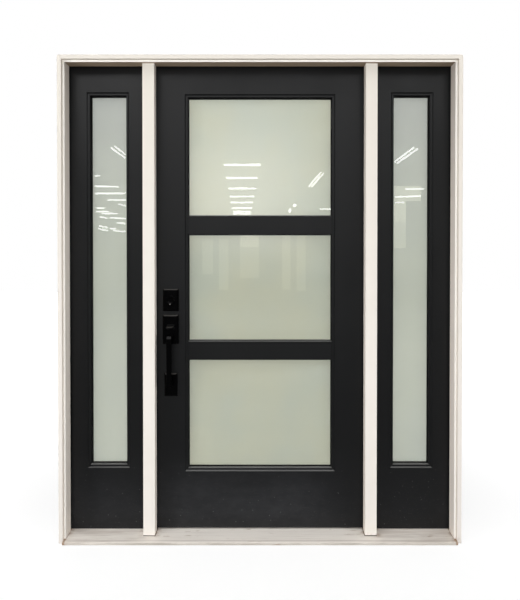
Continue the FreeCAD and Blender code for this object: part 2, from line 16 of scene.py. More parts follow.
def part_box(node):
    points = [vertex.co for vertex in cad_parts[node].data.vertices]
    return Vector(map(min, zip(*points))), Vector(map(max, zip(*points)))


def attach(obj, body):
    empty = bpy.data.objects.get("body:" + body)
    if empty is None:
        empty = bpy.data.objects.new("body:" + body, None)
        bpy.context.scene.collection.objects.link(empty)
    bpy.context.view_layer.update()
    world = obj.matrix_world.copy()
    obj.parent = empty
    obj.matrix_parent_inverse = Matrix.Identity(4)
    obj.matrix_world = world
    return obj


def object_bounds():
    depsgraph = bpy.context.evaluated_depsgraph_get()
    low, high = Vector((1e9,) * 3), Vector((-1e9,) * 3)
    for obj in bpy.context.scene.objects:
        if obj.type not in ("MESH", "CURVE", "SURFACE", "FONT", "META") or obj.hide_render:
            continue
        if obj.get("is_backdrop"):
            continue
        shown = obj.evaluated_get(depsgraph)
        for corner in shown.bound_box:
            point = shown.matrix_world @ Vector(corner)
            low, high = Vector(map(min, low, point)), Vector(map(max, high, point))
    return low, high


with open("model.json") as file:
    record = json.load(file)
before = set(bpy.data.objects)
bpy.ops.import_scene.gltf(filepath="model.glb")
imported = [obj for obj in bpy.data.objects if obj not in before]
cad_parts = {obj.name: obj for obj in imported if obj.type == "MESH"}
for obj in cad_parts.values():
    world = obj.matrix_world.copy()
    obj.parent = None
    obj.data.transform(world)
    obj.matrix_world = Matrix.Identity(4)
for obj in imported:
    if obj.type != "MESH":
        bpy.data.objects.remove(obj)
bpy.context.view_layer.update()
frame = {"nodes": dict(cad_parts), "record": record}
nodes = frame["nodes"]
scene = bpy.context.scene
random.seed(7)

MM = 0.001

# Picture and camera
PICTURE_HIGH = 600
FOCAL_PIXELS = 515.4
AXIS_ROW = 251.9
CAMERA_PLACE = (0.0, -2.240, 1.2496)
CAMERA_PITCH_DEG = 0.58
SENSOR_MM = 36.0

# Places on the unit that the added details, the stains, and the painted shade, shadow and highlights need
POST_MIDDLE = 0.473
POST_HALF = 0.025
POST_FRONT = -0.052
JAMB_FRONT = -0.068
JAMB_INSIDE = 0.822
DOOR_HALF = 0.457
SWING_GAP = 0.005
STRIKE_THICK = 0.002
BOLT_HOLE_FLOOR = -(DOOR_HALF + SWING_GAP + STRIKE_THICK)
SILL_GROOVE = -0.083
BOLT_GLINT = (-0.3895, 1.0009)
HINGE_HIGH = 0.102
DOOR_LEAF_FACE = (0.4592, 0.0275)
FRAME_LEAF_FACE = (0.4598, 0.0304)
LOCK_PLATE_HIGH = 0.057
LOCK_X = -0.387
INDOOR_PLATE_FACE = 0.0535

# Heights between which a stain or a painted shade comes or goes
TOP_SHADE_HEIGHTS = (0.6, 2.0)
REVEAL_HEIGHTS = (1.0, 2.1)
BARE_HEIGHTS = (0.012, 0.034)
HAZE_HEIGHTS = (0.06, 0.40)
WIPED_HEIGHTS = (0.03, 0.10)
FROST_TOP_SHADE_HEIGHTS = (1.2, 1.9)

# Light levels
AMBIENT = 0.15
AMBIENT_BACK = 0.55
AMBIENT_TURN = (0.0, 0.4)
WHITE = 1.0
ROOM_FRONT = 0.13
ROOM_TURN = (-0.6, 0.3)
ROOM_CEILING = 1.9
ROOM_RISE = (0.14, 0.46)
ROOM_ASIDE = (0.12, 0.30, 1.0, 0.4)
BAY_LEVEL = 2.55
BAY_PLACE = (-0.02, -1.0, 0.10)
BAY_REACH = (0.25, 1.0, 0.26)
BAY_FOOT = (-0.075, 0.06)

# Colours, linear
PRIMER = (0.842, 0.798, 0.742)
# Painted shade: a darker copy of the primer for the casing
PRIMER_CASING_SHADED = (0.802, 0.754, 0.704)
PRIMER_SIDE_SHADE = (0.865, 0.785, 0.705)
# Duller primer for uneven tone and grain, and also painted shade towards the top
PRIMER_DULL_AND_SHADE = (0.76, 0.715, 0.64)
CASING_EDGE_SHADE = (0.74, 0.66, 0.58)
CASING_UNDER_SHADE = (0.58, 0.53, 0.46)
JAMB_LIP_LIGHT = (0.95, 0.92, 0.87)
REVEAL_SHADE = (0.10, 0.08, 0.06)
BARE_WOOD = (0.30, 0.19, 0.11)
UNDERSIDE_SHADE = (0.267, 0.188, 0.119)
SILL_PRIMER = (0.925, 0.874, 0.808)
SILL_WORN = (0.47, 0.40, 0.345)
SILL_NOSE_SHADE = (0.448, 0.404, 0.358)
UNDER_POST_SHADOW = (0.10, 0.075, 0.055)
BOLT_HOLE_SHADE = (0.010, 0.008, 0.006)
BLACK_PAINT = (0.0050, 0.0053, 0.0057)
DUST_HAZE = (0.0272, 0.0280, 0.0303)
DUST_SPECK = (0.10, 0.10, 0.10)
LEDGE_DUST = (0.135, 0.135, 0.13)
HARDWARE_BLACK = (0.0007, 0.0007, 0.0008)
HARDWARE_DUST = (0.032, 0.030, 0.0275)
GRIP_DUST = (0.004, 0.0038, 0.0035)
PAINTED_GLINT = (0.42, 0.41, 0.395)
OXIDE = (0.05, 0.05, 0.052)
OXIDE_RUBBED = (0.28, 0.275, 0.27)
RUBBER = (0.010, 0.010, 0.010)
RUBBER_PALE = (0.022, 0.021, 0.020)
SPACER = (0.008, 0.008, 0.008)
SPACER_PALE = (0.016, 0.016, 0.0155)
CLEAR = (0.97, 0.99, 0.975)
FROST = (0.586, 0.577, 0.451)
FROST_COOL = (0.497, 0.530, 0.467)
FROST_REFLECTED_BAND = (0.80, 0.80, 0.72)
# Painted light: a lighter copy of the frosted glass for the sidelights
FROST_SIDE_LIT = (0.634, 0.648, 0.563)
FROST_SIDE_LIT_COOL = (0.582, 0.603, 0.549)
FROST_TOP_SHADE = (0.528, 0.534, 0.522)


# Camera, at the place and tilt that the photograph's edges give

camera = bpy.data.objects.new("camera", bpy.data.cameras.new("camera"))
scene.collection.objects.link(camera)
camera.location = CAMERA_PLACE
camera.rotation_euler = (math.radians(90 - CAMERA_PITCH_DEG), 0, 0)
camera.data.sensor_width = SENSOR_MM
camera.data.lens = FOCAL_PIXELS * SENSOR_MM / PICTURE_HIGH
camera.data.shift_y = (AXIS_ROW - PICTURE_HIGH / 2) / PICTURE_HIGH
scene.camera = camera
scene.view_settings.view_transform = "Standard"


class Nodes:
    """Short calls for the nodes of one shader tree."""

    def __init__(self, tree):
        self.tree = tree

    def feed(self, socket, value):
        if isinstance(value, bpy.types.NodeSocket):
            self.tree.links.new(value, socket)
        elif socket.type == "RGBA" and len(value) == 3:
            socket.default_value = (*value, 1)
        else:
            socket.default_value = value

    def add(self, kind, settings=None, **inputs):
        node = self.tree.nodes.new("ShaderNode" + kind)
        for name, value in (settings or {}).items():
            setattr(node, name, value)
        for name, value in inputs.items():
            self.feed(node.inputs[name.replace("_", " ")], value)
        return node

    def pair(self, kind, operation, first, second):
        """A node that works on its first two inputs."""
        node = self.add(kind, {"operation": operation})
        self.feed(node.inputs[0], first)
        self.feed(node.inputs[1], second)
        return node.outputs

    def math(self, operation, first, second=0.0):
        return self.pair("Math", operation, first, second)["Value"]

    def times(self, first, second):
        return self.math("MULTIPLY", first, second)

    def off(self, value, place):
        """How far a value lies from a place, to either side."""
        return self.math("ABSOLUTE", self.math("SUBTRACT", value, place))

    def vector(self, operation, first, second):
        return self.pair("VectorMath", operation, first, second)["Vector"]

    def length(self, vector):
        return self.pair("VectorMath", "LENGTH", vector, (0, 0, 0))["Value"]

    def span(self, value, low, high, out_low=0.0, out_high=1.0):
        """Smooth step of value from low to high, as out_low to out_high."""
        node = self.add("MapRange", {"interpolation_type": "SMOOTHSTEP"})
        for name, given in (("Value", value), ("From Min", low), ("From Max", high),
                            ("To Min", out_low), ("To Max", out_high)):
            self.feed(node.inputs[name], given)
        return node.outputs["Result"]


class Paint(Nodes):
    """A node material, with the places, textures and mixes that a surface needs."""

    def __init__(self, name, **sockets):
        self.material = bpy.data.materials.new(name)
        self.material.use_nodes = True
        super().__init__(self.material.node_tree)
        self.shader = self.tree.nodes["Principled BSDF"]
        coordinates = self.add("TexCoord").outputs
        self.place = coordinates["Object"]
        normal = coordinates["Normal"]
        self.x, self.y, self.z = self.add("SeparateXYZ", Vector=self.place).outputs
        self.normal_x, self.normal_y, self.normal_z = self.add("SeparateXYZ", Vector=normal).outputs
        for socket, value in sockets.items():
            self.set(socket.replace("_", " "), value)

    def set(self, socket, value):
        self.feed(self.shader.inputs[socket], value)

    def noise(self, scale, stretch=(1, 1, 1), detail=4.0, roughness=0.6, offset=(0, 0, 0)):
        mapping = self.add("Mapping", Vector=self.place, Scale=stretch, Location=offset)
        node = self.add("TexNoise", Vector=mapping.outputs["Vector"], Scale=scale, Detail=detail,
                        Roughness=roughness)
        return node.outputs["Fac"]

    def specks(self, scale, reach):
        """Scattered small spots of uneven strength; reach is a spot's radius as a share of the spacing."""
        node = self.add("TexVoronoi", Vector=self.place, Scale=scale)
        spot = self.span(node.outputs["Distance"], reach, 0.4 * reach)
        return self.times(spot, self.span(node.outputs["Color"], 0.3, 0.8))

    def mix(self, share, first, second):
        node = self.add("Mix", {"data_type": "RGBA"})
        self.feed(node.inputs["Factor"], share)
        self.feed(node.inputs[6], first)
        self.feed(node.inputs[7], second)
        return node.outputs[2]

    def bump(self, height, strength, depth):
        node = self.add("Bump", Height=height, Strength=strength, Distance=depth)
        self.set("Normal", node.outputs["Normal"])


def along(axis, run, across):
    """Texture stretch that draws a grain out along one axis."""
    return tuple(run if name == axis else across for name in "XYZ")


def primed_wood(name, grain, primer=PRIMER, inner_side_shade=PRIMER_SIDE_SHADE, underside_shade=UNDERSIDE_SHADE):
    """Brushed off-white primer on wood: faint streaks along the grain and bare spots near the sill.

    The primer darkens towards the top as painted shade. Undersides carry painted shade, and the sides that
    face the middle of the unit a warm painted shade that deepens towards the top. The front lip of a jamb
    is a painted highlight, and the floor of a bolt hole is painted shade, near black.
    """
    paint = Paint(name, Roughness=0.62, Specular_IOR_Level=0.25)
    streak = paint.noise(600, along(grain, 0.01, 1.0), 2)
    cloud = paint.noise(7, (1, 1, 1), 3)
    colour = paint.mix(paint.span(cloud, 0.42, 0.75, 0.0, 0.25), primer, PRIMER_DULL_AND_SHADE)
    # Painted shade: the primer turns darker towards the top
    colour = paint.mix(paint.span(paint.z, *TOP_SHADE_HEIGHTS, 0.0, 0.8), colour, PRIMER_DULL_AND_SHADE)
    outward = paint.times(paint.normal_x, paint.math("SIGN", paint.x))
    inward = paint.span(outward, -0.9, -0.5, 1.0, 0.0)
    # Painted shade: sides that face the middle of the unit take a warm shaded tint
    colour = paint.mix(paint.times(inward, 0.7), colour, inner_side_shade)
    shade = paint.times(inward, paint.span(paint.z, *REVEAL_HEIGHTS, 0.0, 0.34))
    colour = paint.mix(shade, colour, REVEAL_SHADE)
    grain_share = paint.span(outward, 0.5, 0.9, 0.16, 0.6)
    colour = paint.mix(paint.span(streak, 0.5, 0.8, 0.0, grain_share), colour, PRIMER_DULL_AND_SHADE)
    foot = paint.span(paint.z, *BARE_HEIGHTS, 1.0, 0.0)
    bare = paint.span(paint.noise(60, (1, 1, 0.6), 3, offset=(3, 1, 0)), 0.50, 0.62)
    inside = paint.span(paint.y, POST_FRONT, POST_FRONT + 0.004, 0.25, 0.8)
    colour = paint.mix(paint.times(paint.times(bare, foot), inside), colour, BARE_WOOD)
    # Painted shade on faces that look down
    colour = paint.mix(paint.span(paint.normal_z, -0.9, -0.5, 0.9, 0.0), colour, underside_shade)
    # Painted highlight: the narrow front lip of each jamb, which the casing keeps in shade, is painted
    # lighter
    lip = paint.span(paint.off(paint.y, JAMB_FRONT), 0.0008, 0.0016, 1.0, 0.0)
    colour = paint.mix(lip, colour, JAMB_LIP_LIGHT)
    # Painted shade: the floor of the bolt hole is painted near black
    hole = paint.span(paint.off(paint.x, BOLT_HOLE_FLOOR), 0.0002, 0.0010, 1.0, 0.0)
    hole = paint.times(hole, paint.span(paint.normal_x, 0.5, 0.9))
    paint.set("Base Color", paint.mix(hole, colour, BOLT_HOLE_SHADE))
    paint.bump(streak, 0.08, 0.0008)
    return paint.material


def sill_wood(name):
    """Worn primer on the sill: long grain lines, a groove behind the nose, and brown stains at the feet of
    the posts and jambs. The nose, which faces the front, is painted darker than the top in patches, as
    painted shade, and lighter towards its ends, as painted light. A painted shadow lies under the posts."""
    paint = Paint(name, Roughness=0.66, Specular_IOR_Level=0.25)
    grain = paint.noise(170, along("X", 0.025, 1.0), 5, 0.65)
    smear = paint.noise(26, along("X", 0.12, 1.0), 5)
    away = paint.math("ABSOLUTE", paint.x)
    outer = paint.span(away, POST_MIDDLE - 0.06, POST_MIDDLE + 0.06, 0.15, 0.9)
    worn = paint.times(paint.span(smear, 0.36, 0.68, 0.0, 0.62), outer)
    colour = paint.mix(worn, SILL_PRIMER, SILL_WORN)
    # Painted shade on the nose, darker than the top in patches, and painted light towards its ends
    nose_patches = paint.span(paint.noise(11, along("X", 0.3, 1.0), 4, offset=(1, 4, 0)), 0.38, 0.62, 0.55, 1.0)
    nose = paint.span(paint.normal_y, -0.85, -0.4, 1.0, 0.0)
    nose_shade_colour = paint.mix(paint.span(away, 0.3, 0.7, 0.0, 0.24), SILL_NOSE_SHADE, SILL_PRIMER)
    colour = paint.mix(paint.times(nose, nose_patches), colour, nose_shade_colour)
    groove = paint.span(paint.off(paint.y, SILL_GROOVE), 0.002, 0.006, 0.32, 0.0)
    colour = paint.mix(groove, colour, SILL_WORN)
    colour = paint.mix(paint.span(grain, 0.52, 0.74, 0.0, 0.4), colour, SILL_WORN)
    scuff = paint.span(paint.noise(48, along("X", 0.16, 1.0), 3, offset=(5, 2, 0)), 0.63, 0.70)
    colour = paint.mix(paint.times(scuff, 0.5), colour, BARE_WOOD)
    from_post = paint.off(away, POST_MIDDLE)
    beside_post = paint.times(paint.span(from_post, POST_HALF + 0.004, POST_HALF + 0.030, 1.0, 0.0),
                              paint.span(paint.y, POST_FRONT - 0.012, POST_FRONT + 0.006))
    near_jamb = paint.span(away, JAMB_INSIDE - 0.022, JAMB_INSIDE)
    spots = paint.span(paint.noise(38, along("X", 0.5, 1.0), 5, offset=(2, 0, 5)), 0.42, 0.62)
    stain = paint.times(spots, paint.math("MAXIMUM", beside_post, near_jamb))
    colour = paint.mix(paint.times(stain, 0.6), colour, BARE_WOOD)
    post_joint = paint.times(paint.span(from_post, POST_HALF + 0.001, POST_HALF + 0.0035, 1.0, 0.0),
                             paint.span(paint.y, POST_FRONT - 0.001, POST_FRONT + 0.002))
    jamb_joint = paint.span(away, JAMB_INSIDE - 0.0035, JAMB_INSIDE - 0.001)
    joint = paint.math("MAXIMUM", jamb_joint, post_joint)
    colour = paint.mix(paint.times(joint, 0.75), colour, BARE_WOOD)
    # Painted shadow: a dark line on the sill under the front of each post
    shadow_under_post = paint.times(paint.span(from_post, POST_HALF, POST_HALF + 0.002, 1.0, 0.0),
                        paint.span(paint.y, POST_FRONT - 0.002, POST_FRONT + 0.001))
    paint.set("Base Color", paint.mix(shadow_under_post, colour, UNDER_POST_SHADOW))
    paint.bump(grain, 0.3, 0.0008)
    return paint.material


def black_paint(name, grain):
    """Satin black paint: slight brush drag along the grain, dust on ledges, smeared haze and specks low down.

    The haze is strongest on the door and thinner beside the lock, near the hinges and on the sidelights, so
    those parts stay darker; next to the posts and jambs this darkening is painted shade.
    """
    paint = Paint(name, Specular_IOR_Level=0.28)
    drag = paint.noise(260, along(grain, 0.05, 1.0), 4)
    cloud = paint.noise(4.5, (1, 1, 0.6), 4)
    low = paint.span(paint.z, *HAZE_HEIGHTS, 1.0, 0.0)
    # Haze spread: thinner towards the posts, which paints shade beside them
    haze_spread_and_shade = paint.times(paint.span(paint.x, -DOOR_HALF, 0.14 - DOOR_HALF, 0.5, 1.0),
                          paint.span(paint.x, DOOR_HALF - 0.32, DOOR_HALF - 0.04, 1.0, 0.2))
    wiped = paint.times(paint.span(paint.z, *WIPED_HEIGHTS, 0.6, 1.0), haze_spread_and_shade)
    cloudy = paint.span(paint.noise(4.0, (1, 1, 1.6), 3), 0.30, 0.70, 0.6, 1.0)
    smeared = paint.span(paint.noise(22, (1, 1, 1.8), 4, offset=(4, 0, 2)), 0.35, 0.65, 0.7, 1.0)
    haze = paint.times(paint.times(cloudy, smeared), paint.times(low, wiped))
    colour = paint.mix(haze, BLACK_PAINT, DUST_HAZE)
    scratch = paint.span(paint.noise(230, (0.10, 1, 1), 3), 0.60, 0.72)
    specks = paint.math("MAXIMUM", paint.specks(52, 0.13), paint.times(paint.specks(140, 0.17), 0.6))
    marks = paint.math("MAXIMUM", specks, paint.times(scratch, 0.12))
    colour = paint.mix(paint.times(marks, low), colour, DUST_SPECK)
    paint.set("Base Color", paint.mix(paint.span(paint.normal_z, 0.5, 1.0), colour, LEDGE_DUST))
    rough = paint.span(cloud, 0.3, 0.7, 0.36, 0.48)
    rough = paint.math("ADD", rough, paint.times(haze, 0.15))
    turned = paint.span(paint.math("ABSOLUTE", paint.normal_y), 0.35, 0.75, 0.5, 0.0)
    paint.set("Roughness", paint.math("ADD", rough, turned))
    paint.bump(drag, 0.10, 0.0006)
    return paint.material


def black_metal(name, dust_colour=HARDWARE_DUST, level_dust=0.3, has_painted_glint=False):
    """Matte black powder coat: dust on bevels that face up and some on level tops, or clean with one painted
    glint, a small bright spot low on the cylinder that stands in for a highlight."""
    paint = Paint(name, Specular_IOR_Level=0.06)
    if has_painted_glint:
        # Painted glint: a small bright spot drawn on the cylinder
        aside = paint.math("SUBTRACT", paint.x, BOLT_GLINT[0])
        above = paint.math("SUBTRACT", paint.z, BOLT_GLINT[1])
        away = paint.math("SQRT", paint.math("ADD", paint.times(aside, aside), paint.times(above, above)))
        ragged = paint.span(paint.noise(900, (1, 1, 1), 2), 0.3, 0.7, -0.0012, 0.0012)
        glint_spot = paint.span(paint.math("ADD", away, ragged), 0.0016, 0.0029, 1.0, 0.0)
        colour = paint.mix(glint_spot, HARDWARE_BLACK, PAINTED_GLINT)
    else:
        facing_up = paint.span(paint.normal_z, 0.2, 0.55)
        dust = paint.times(facing_up, paint.span(paint.normal_z, 0.6, 0.95, 1.0, level_dust))
        colour = paint.mix(dust, HARDWARE_BLACK, dust_colour)
    paint.set("Base Color", colour)
    grain = paint.noise(1400, (1, 1, 1), 2)
    paint.set("Roughness", paint.span(grain, 0.3, 0.7, 0.20, 0.28))
    paint.bump(grain, 0.12, 0.0002)
    return paint.material


def oxide_steel(name):
    """Black oxide on brushed steel, rubbed bright in fine lines."""
    paint = Paint(name, Metallic=1.0)
    brush = paint.noise(900, (1, 1, 0.04), 4)
    paint.set("Base Color", paint.mix(paint.span(brush, 0.55, 0.85, 0.0, 0.6), OXIDE, OXIDE_RUBBED))
    paint.set("Roughness", paint.span(brush, 0.3, 0.7, 0.34, 0.5))
    paint.bump(brush, 0.1, 0.0002)
    return paint.material


def rubber(name):
    """Dull black seal with a fine grain."""
    paint = Paint(name, Specular_IOR_Level=0.2)
    grain = paint.noise(700, (1, 1, 1), 3)
    paint.set("Base Color", paint.mix(grain, RUBBER, RUBBER_PALE))
    paint.set("Roughness", paint.span(grain, 0.3, 0.7, 0.7, 0.85))
    paint.bump(grain, 0.2, 0.0003)
    return paint.material


def spacer_metal(name):
    """Dark, dull metal between the panes."""
    paint = Paint(name, Specular_IOR_Level=0.1)
    grain = paint.noise(500, (1, 1, 1), 3)
    paint.set("Base Color", paint.mix(grain, SPACER, SPACER_PALE))
    paint.set("Roughness", paint.span(grain, 0.3, 0.7, 0.75, 0.9))
    return paint.material


def clear_glass(name):
    """Polished outer pane; the faint waves of float glass bend its reflections."""
    paint = Paint(name, Base_Color=CLEAR, Roughness=0.0, IOR=1.5, Transmission_Weight=1.0)
    paint.bump(paint.noise(1.6, (1, 1, 1), 1), 0.003, 0.002)
    return paint.material


def frosted_glass(name, warm, cool, top_shade_share=0.0):
    """Satin etched inner pane, pale green grey with slow clouds of uneven tone that partly stand in for
    reflected patches, as painted reflection, and pale level bands as painted reflection. By a share it is
    greyer and darker near the top, as painted shade.
    """
    paint = Paint(name, Roughness=0.65, Specular_IOR_Level=0.2, Transmission_Weight=0.7)
    cloud = paint.noise(2.4, (1, 1, 0.8), 3)
    # Uneven tone, partly standing in for reflected patches
    colour = paint.mix(paint.span(cloud, 0.35, 0.7, 0.2, 0.75), warm, cool)
    # Painted shade: greyer and darker towards the top
    colour = paint.mix(paint.span(paint.z, *FROST_TOP_SHADE_HEIGHTS, 0.0, top_shade_share), colour, FROST_TOP_SHADE)
    # Painted reflection: pale level bands
    reflected_band = paint.noise(4.0, (0.3, 1, 1.7), 4, offset=(0, 0, 3))
    paint.set("Base Color", paint.mix(paint.span(reflected_band, 0.42, 0.70, 0.0, 0.10), colour, FROST_REFLECTED_BAND))
    paint.bump(paint.noise(2200, (1, 1, 1), 2), 0.1, 0.0002)
    return paint.material


FINISHES = {
    "primed_upright": primed_wood("primed_upright", "Z"),
    "primed_level": primed_wood("primed_level", "X"),
    "casing_upright": primed_wood("casing_upright", "Z", PRIMER_CASING_SHADED, CASING_EDGE_SHADE, CASING_UNDER_SHADE),
    "casing_level": primed_wood("casing_level", "X", PRIMER_CASING_SHADED, CASING_EDGE_SHADE, CASING_UNDER_SHADE),
    "sill_wood": sill_wood("sill_wood_worn"),
    "black_upright": black_paint("black_upright", "Z"),
    "black_level": black_paint("black_level", "X"),
    "black_hardware": black_metal("black_powder_coat"),
    "black_cylinder": black_metal("black_coat_painted_glint", has_painted_glint=True),
    "black_thumb": black_metal("black_rubbed_coat", level_dust=1.0),
    "black_grip": black_metal("black_handled_coat", GRIP_DUST),
    "hinge_steel": oxide_steel("black_oxide_steel"),
    "seal_rubber": rubber("seal_rubber_grain"),
    "spacer_metal": spacer_metal("spacer_dull"),
    "clear_glass": clear_glass("clear_pane_glass"),
    "frosted_glass": frosted_glass("frosted_pane_glass", FROST, FROST_COOL),
    "frosted_side_lit": frosted_glass("frosted_side_lit_glass", FROST_SIDE_LIT, FROST_SIDE_LIT_COOL, top_shade_share=0.7),
}
OWN_FINISH = {"deadbolt_cylinder": "black_cylinder", "thumb_piece": "black_thumb", "pull_grip": "black_grip"}
LEVEL_WORDS = ("rail", "bar", "head")
slot_of = {row["node"]: row["material_slot"] for row in frame["record"]["subparts"]}


def finish_of(node):
    """Finish of a node: its own, or its slot, and for wood the way its grain runs."""
    slot = slot_of[node]
    run = "level" if any(word in node for word in LEVEL_WORDS) else "upright"
    if node in OWN_FINISH:
        return OWN_FINISH[node]
    # Sidelight panes take the lighter, painted-light copy of the frosted glass
    if slot == "frosted_glass" and "sidelight" in node:
        return "frosted_side_lit"
    if "casing" in node:
        return "casing_" + run
    wood = {"primed_wood": "primed_", "black_wood": "black_"}.get(slot)
    return wood + run if wood else slot


for name, node in nodes.items():
    for material_slot in node.material_slots:
        material_slot.material = FINISHES[finish_of(name)]


# Edges that a cutter, sandpaper or paint has softened, in millimetres

SOFT_EDGES = {
    "primed_wood": 1.2, "sill_wood": 1.5, "black_wood": 0.8, "black_hardware": 0.7, "seal_rubber": 2.0,
}
FLUSH = ("stile", "rail", "deadbolt_cylinder", "thumb_piece")
WELD_REACH = 0.01 * MM
FLAT_ANGLE_DEG = 1
EDGE_ANGLE_DEG = 35
for name, node in nodes.items():
    if slot_of[name] not in SOFT_EDGES or any(word in name for word in FLUSH):
        continue
    weld = node.modifiers.new("weld", "WELD")
    weld.merge_threshold = WELD_REACH
    flat = node.modifiers.new("flat", "DECIMATE")
    flat.decimate_type = "DISSOLVE"
    flat.angle_limit = math.radians(FLAT_ANGLE_DEG)
    soft = node.modifiers.new("soft", "BEVEL")
    soft.width = SOFT_EDGES[slot_of[name]] * MM
    soft.segments = 2
    soft.limit_method = "ANGLE"
    soft.angle_limit = math.radians(EDGE_ANGLE_DEG)
    soft.harden_normals = True


# Screw heads and bolt ends

SCREW_POINTS = 24
RIM_SHARE = 0.86
ARM_SHARE = 0.58
ARM_HALF_SHARE = 0.13
RECESS_SHARE = 0.15
RECESS_TAPER = 0.75

# Radius of a head, and how far it stands proud
HINGE_SCREW = (4.2 * MM, 0.22 * MM)
LOCK_SCREW = (3.6 * MM, 0.6 * MM)
INDOOR_SCREW = (3.6 * MM, 0.8 * MM)

# Places of the screws on one hinge leaf, and how far the other screws lie from the middle of their plate
HINGE_SCREWS = [(-0.007, 0.017), (0.006, 0.051), (-0.007, 0.085)]
LOCK_SCREW_AWAY = 0.021
LEVER_SCREW_AWAY = 0.048
TURN_SCREW_AWAY = 0.022

BOLT_SIZE = (0.013, 0.024, 0.0016)
LATCH_SLOPE = 0.7 * MM


def loop_pairs(loop):
    return zip(loop, loop[1:] + loop[:1])


def seat_at(place, facing):
    """Turns and moves a shape that points up so that it points along facing at place."""
    return Matrix.Translation(place) @ Vector(facing).to_track_quat("Z", "Y").to_matrix().to_4x4()


def screw_head(mesh, place, facing, radius, proud):
    """A flat head with a bevelled rim and a tapered cross recess, turned as it came to rest."""
    seat = seat_at(place, facing) @ Matrix.Rotation(random.uniform(0, math.pi), 4, "Z")
    circle = [2 * math.pi * step / SCREW_POINTS for step in range(SCREW_POINTS)]
    arm, half = ARM_SHARE * radius, ARM_HALF_SHARE * radius
    corner = [(half, arm), (-half, arm), (-half, half)]
    cross = []
    for quarter in range(4):
        spin = Matrix.Rotation(quarter * math.pi / 2, 2)
        cross += [spin @ Vector(point) for point in corner]

    def points(flat, height):
        return [mesh.verts.new(seat @ Vector((x, y, height))) for x, y in flat]

    def disc(size):
        return [(size * math.cos(angle), size * math.sin(angle)) for angle in circle]

    foot = points(disc(radius), 0)
    rim = points(disc(radius * RIM_SHARE), proud)
    lip = points(cross, proud)
    floor = points([RECESS_TAPER * point for point in cross], proud * RECESS_SHARE)
    for upper, lower in ((rim, foot), (floor, lip)):
        for (a, b), (c, d) in zip(loop_pairs(lower), loop_pairs(upper)):
            mesh.faces.new((a, b, d, c))
    mesh.faces.new(foot[::-1])
    mesh.faces.new(floor)
    edges = [mesh.edges.get(pair) for loop in (rim, lip) for pair in loop_pairs(loop)]
    bmesh.ops.triangle_fill(mesh, use_beauty=True, edges=edges)


def bolt_end(mesh, place, facing, size, slope):
    """The end of a bolt drawn back level with its faceplate, its edges eased; a latch's end is sloped."""
    wide, high, proud = size
    seat = seat_at(place, facing)
    made = bmesh.ops.create_cube(mesh, size=1)["verts"]
    for vert in made:
        vert.co = Vector((vert.co.x * high, vert.co.y * wide, vert.co.z * proud))
        if vert.co.z > 0 and vert.co.y > 0:
            vert.co.z -= slope
        vert.co = seat @ vert.co
    edges = list({edge for vert in made for edge in vert.link_edges})
    bmesh.ops.bevel(mesh, geom=edges, offset=proud / 3, segments=2, affect="EDGES")


def detail(name, body, slot, build):
    """A new piece on a body, in the finish of one of the part's slots."""
    mesh = bmesh.new()
    build(mesh)
    bmesh.ops.recalc_face_normals(mesh, faces=mesh.faces)
    data = bpy.data.meshes.new(name)
    mesh.to_mesh(data)
    mesh.free()
    data.materials.append(FINISHES[slot])
    piece = bpy.data.objects.new(name, data)
    scene.collection.objects.link(piece)
    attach(piece, body)


def screws(name, body, slot, places, facing, size):
    def build(mesh):
        for place in places:
            screw_head(mesh, place, facing, *size)
    detail(name, body, slot, build)


low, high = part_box("door_hinge_leaves")
hinge_feet = [low[2], (low[2] + high[2] - HINGE_HIGH) / 2, high[2] - HINGE_HIGH]


def leaf_places(leaf_face):
    face_x, middle_y = leaf_face
    return [(face_x, middle_y + y, foot + z) for foot in hinge_feet for y, z in HINGE_SCREWS]


screws("door_hinge_screws", "door", "hinge_steel", leaf_places(DOOR_LEAF_FACE), (1, 0, 0), HINGE_SCREW)
screws("frame_hinge_screws", "frame", "hinge_steel", leaf_places(FRAME_LEAF_FACE), (-1, 0, 0), HINGE_SCREW)


def plate_middles(node):
    """Middles of the two lock plates of a node, one over the other."""
    low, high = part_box(node)
    middle_y = (low[1] + high[1]) / 2
    return [(middle_y, low[2] + LOCK_PLATE_HIGH / 2), (middle_y, high[2] - LOCK_PLATE_HIGH / 2)]


for name, body, node, side, facing in (
    ("strike_screws", "frame", "strike_plates", 1, (1, 0, 0)),
    ("faceplate_screws", "door", "lock_faceplates", 0, (-1, 0, 0)),
):
    face_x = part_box(node)[side][0]
    places = []
    for y, z in plate_middles(node):
        places += [(face_x, y, z - LOCK_SCREW_AWAY), (face_x, y, z + LOCK_SCREW_AWAY)]
    screws(name, body, "hinge_steel", places, facing, LOCK_SCREW)

latch_middle, bolt_middle = plate_middles("lock_faceplates")
plate_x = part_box("lock_faceplates")[0][0]
detail("deadbolt_end", "door", "hinge_steel",
       lambda mesh: bolt_end(mesh, (plate_x, *bolt_middle), (-1, 0, 0), BOLT_SIZE, 0))
detail("latch_bolt_end", "door", "hinge_steel",
       lambda mesh: bolt_end(mesh, (plate_x, *latch_middle), (-1, 0, 0), BOLT_SIZE, LATCH_SLOPE))

low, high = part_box("indoor_lever")
lever_z = (low[2] + high[2]) / 2
turn_z = sum(corner[2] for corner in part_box("indoor_thumbturn")) / 2
places = [(LOCK_X, INDOOR_PLATE_FACE, lever_z + up) for up in (-LEVER_SCREW_AWAY, LEVER_SCREW_AWAY)]
places += [(LOCK_X + across, INDOOR_PLATE_FACE, turn_z) for across in (-TURN_SCREW_AWAY, TURN_SCREW_AWAY)]
screws("indoor_plate_screws", "door", "black_hardware", places, (0, 1, 0), INDOOR_SCREW)

# Light passes the clear panes, so they throw no shadow on the frosted ones behind
for name, node in nodes.items():
    if slot_of[name] == "clear_glass":
        node.visible_shadow = False


# World: white behind the object, and soft ambient light. Gloss shows a dim room with one bright bay

